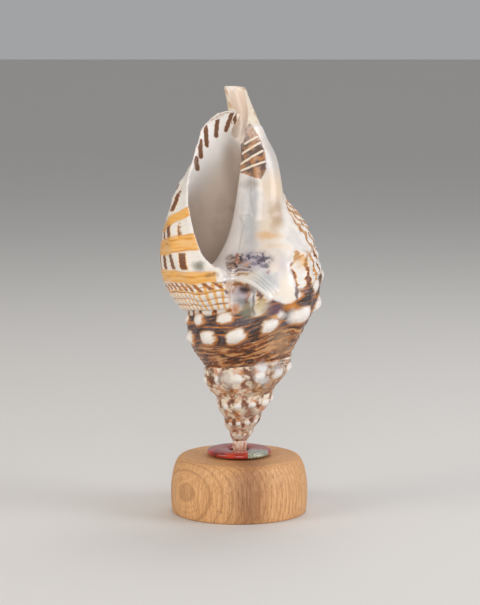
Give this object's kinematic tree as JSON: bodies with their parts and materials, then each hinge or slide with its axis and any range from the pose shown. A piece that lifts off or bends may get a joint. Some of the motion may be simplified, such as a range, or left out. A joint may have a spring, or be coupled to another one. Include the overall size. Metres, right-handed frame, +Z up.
{
  "type": "knobbed triton shell on a stand",
  "caption": "Knobbed triton shell with a flared open mouth, standing apex down in a flat stone ring on a round turned wooden base.",
  "frame": {"origin": "centre of the wooden base's flat underside", "axes": "+Z up along the shell, from its tip to its canal; -Y is the front, which the mouth faces; +X is to the right seen from the front"},
  "size_m": [0.1, 0.1061, 0.2632],
  "materials": {
    "shell": "semi-gloss natural calcite, white porcelain inside, brown and ochre marks outside",
    "stone": "polished red jasper with a grey-green part",
    "wood": "turned, sanded, open pores, thin matt oil"
  },
  "bodies": {
    "root": {"shell": "shell", "stone_ring": "stone", "wooden_base": "wood"}
  },
  "joints": []
}
